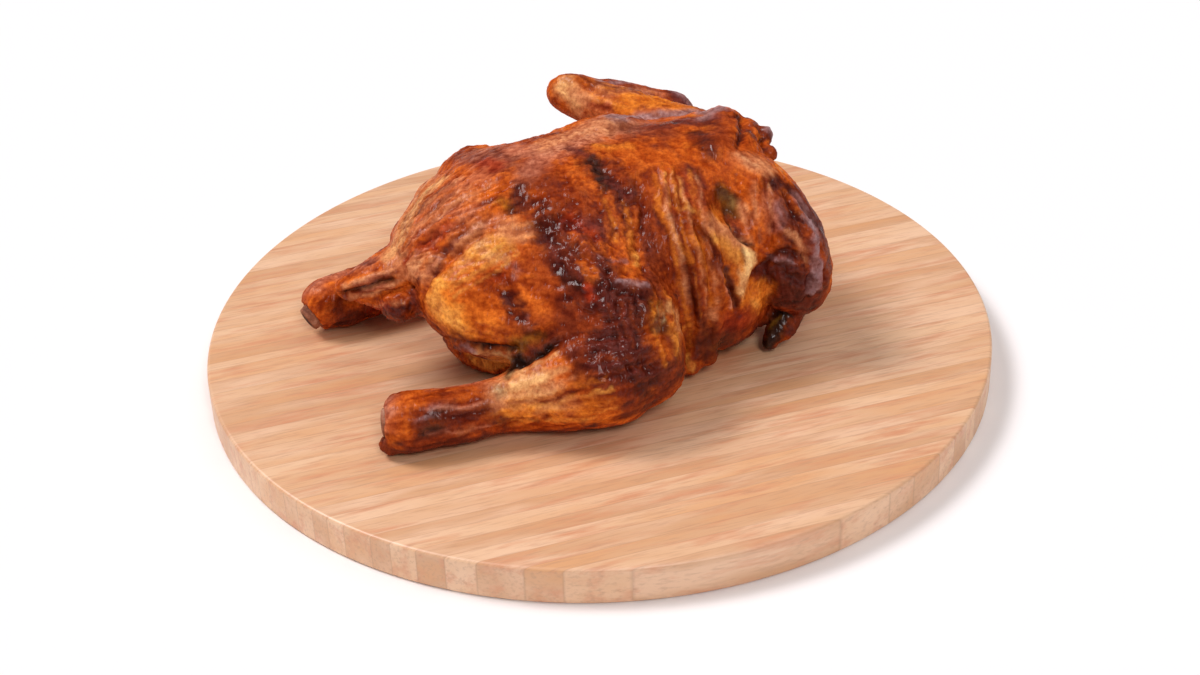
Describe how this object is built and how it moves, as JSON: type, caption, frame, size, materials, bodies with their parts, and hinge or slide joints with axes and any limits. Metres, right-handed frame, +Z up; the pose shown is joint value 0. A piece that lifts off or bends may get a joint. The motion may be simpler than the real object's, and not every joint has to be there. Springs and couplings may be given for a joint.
{
  "type": "grilled chicken on board",
  "caption": "Whole grilled chicken with splayed legs and folded wings, lying breast down on a round board of glued bamboo strips.",
  "frame": {"origin": "centre of the round board's underside, on the surface that the board stands on", "axes": "+Z up, square to the board; +X to the right and +Y away in the picture's view; the bird's neck end points to +X and a little to +Y"},
  "size_m": [0.36, 0.36, 0.1097],
  "materials": {
    "roast_skin": "gloss",
    "bone": "matte",
    "bamboo": "satin"
  },
  "bodies": {
    "root": {"board": "bamboo", "chicken": "roast_skin", "near_leg_bone": "bone", "far_leg_bone": "bone"}
  },
  "joints": []
}
